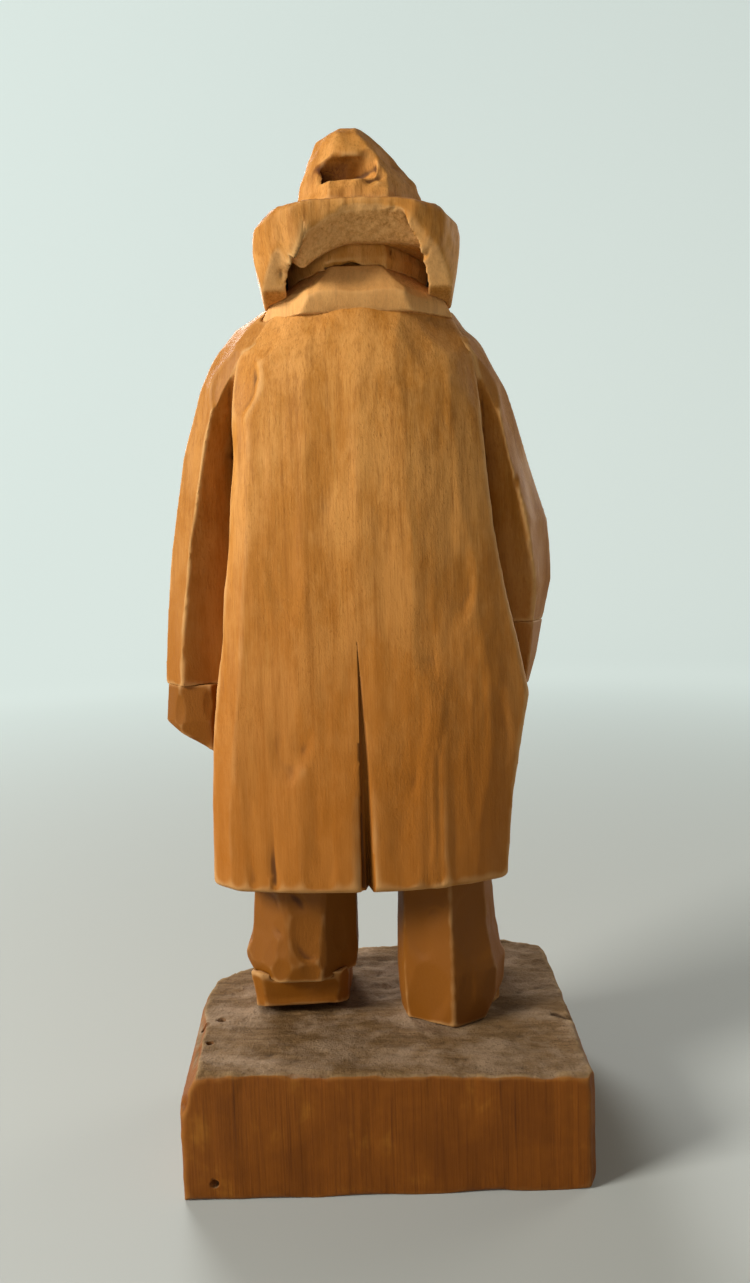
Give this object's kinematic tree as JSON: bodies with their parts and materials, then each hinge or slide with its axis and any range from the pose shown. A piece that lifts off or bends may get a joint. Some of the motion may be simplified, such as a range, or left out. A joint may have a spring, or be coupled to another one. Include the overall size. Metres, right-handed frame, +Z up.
{
  "type": "carved wooden figurine",
  "caption": "Whittled wooden figurine of a man in a long vented overcoat and a slouch hat, standing on a solid sawn block that rests on its flat underside.",
  "frame": {"origin": "middle of the block's underside, the mount named underside", "axes": "+Z up through the hat; -Y is the way the man faces; +X is the man's left, the side with the hanging fist"},
  "size_m": [0.0834, 0.063, 0.203],
  "materials": {
    "waxed_basswood": "knife-cut, oiled and waxed, worn pale on the edges",
    "block_basswood": "sawn sides with vertical grain, dusty grey end grain on top"
  },
  "bodies": {
    "root": {"base_block": "block_basswood", "left_shoe": "waxed_basswood", "right_shoe": "waxed_basswood", "left_trouser_leg": "waxed_basswood", "right_trouser_leg": "waxed_basswood", "coat_body": "waxed_basswood", "left_sleeve": "waxed_basswood", "right_sleeve": "waxed_basswood", "left_hand": "waxed_basswood", "right_hand": "waxed_basswood", "collar": "waxed_basswood", "left_lapel": "waxed_basswood", "right_lapel": "waxed_basswood", "left_pocket_flap": "waxed_basswood", "coat_buttons": "waxed_basswood", "head": "waxed_basswood", "nose": "waxed_basswood", "hat_brim": "waxed_basswood", "hat_crown": "waxed_basswood"}
  },
  "joints": []
}
